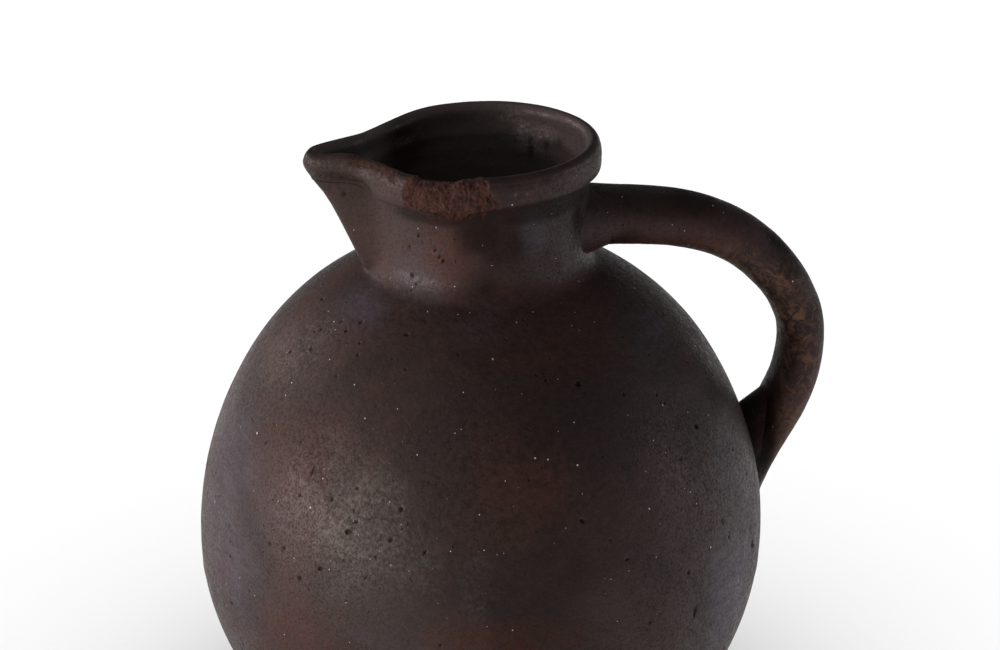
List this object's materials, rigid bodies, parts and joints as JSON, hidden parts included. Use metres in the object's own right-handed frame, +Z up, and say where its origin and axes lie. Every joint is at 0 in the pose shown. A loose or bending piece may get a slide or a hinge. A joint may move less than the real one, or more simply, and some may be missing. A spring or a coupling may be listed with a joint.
{
  "type": "pitcher",
  "caption": "Globe-bodied dark ceramic pitcher with a short neck, a rolled rim, a pinched pouring lip and a looped strap handle.",
  "frame": {"origin": "centre of the flat base on the axis of the globe, on the surface the pitcher stands on", "axes": "+Z up along the axis of the globe and neck, +X towards the handle, -X towards the pouring lip"},
  "size_m": [0.3129, 0.28, 0.32],
  "materials": {
    "floor_disc": "unglazed fired clay",
    "lower_bowl": "burnished dark clay",
    "shoulder_dome": "burnished dark clay",
    "neck_collar": "burnished dark clay",
    "spout": "burnished dark clay",
    "rim_band": "burnished dark clay, chipped",
    "handle": "burnished dark clay, worn",
    "handle_root_luting": "burnished dark clay",
    "handle_tail_luting": "burnished dark clay"
  },
  "bodies": {
    "root": {"floor_disc": "floor_disc", "lower_bowl": "lower_bowl", "shoulder_dome": "shoulder_dome", "neck_collar": "neck_collar", "spout": "spout", "rim_band": "rim_band", "handle": "handle", "handle_root_luting": "handle_root_luting", "handle_tail_luting": "handle_tail_luting"}
  },
  "joints": []
}
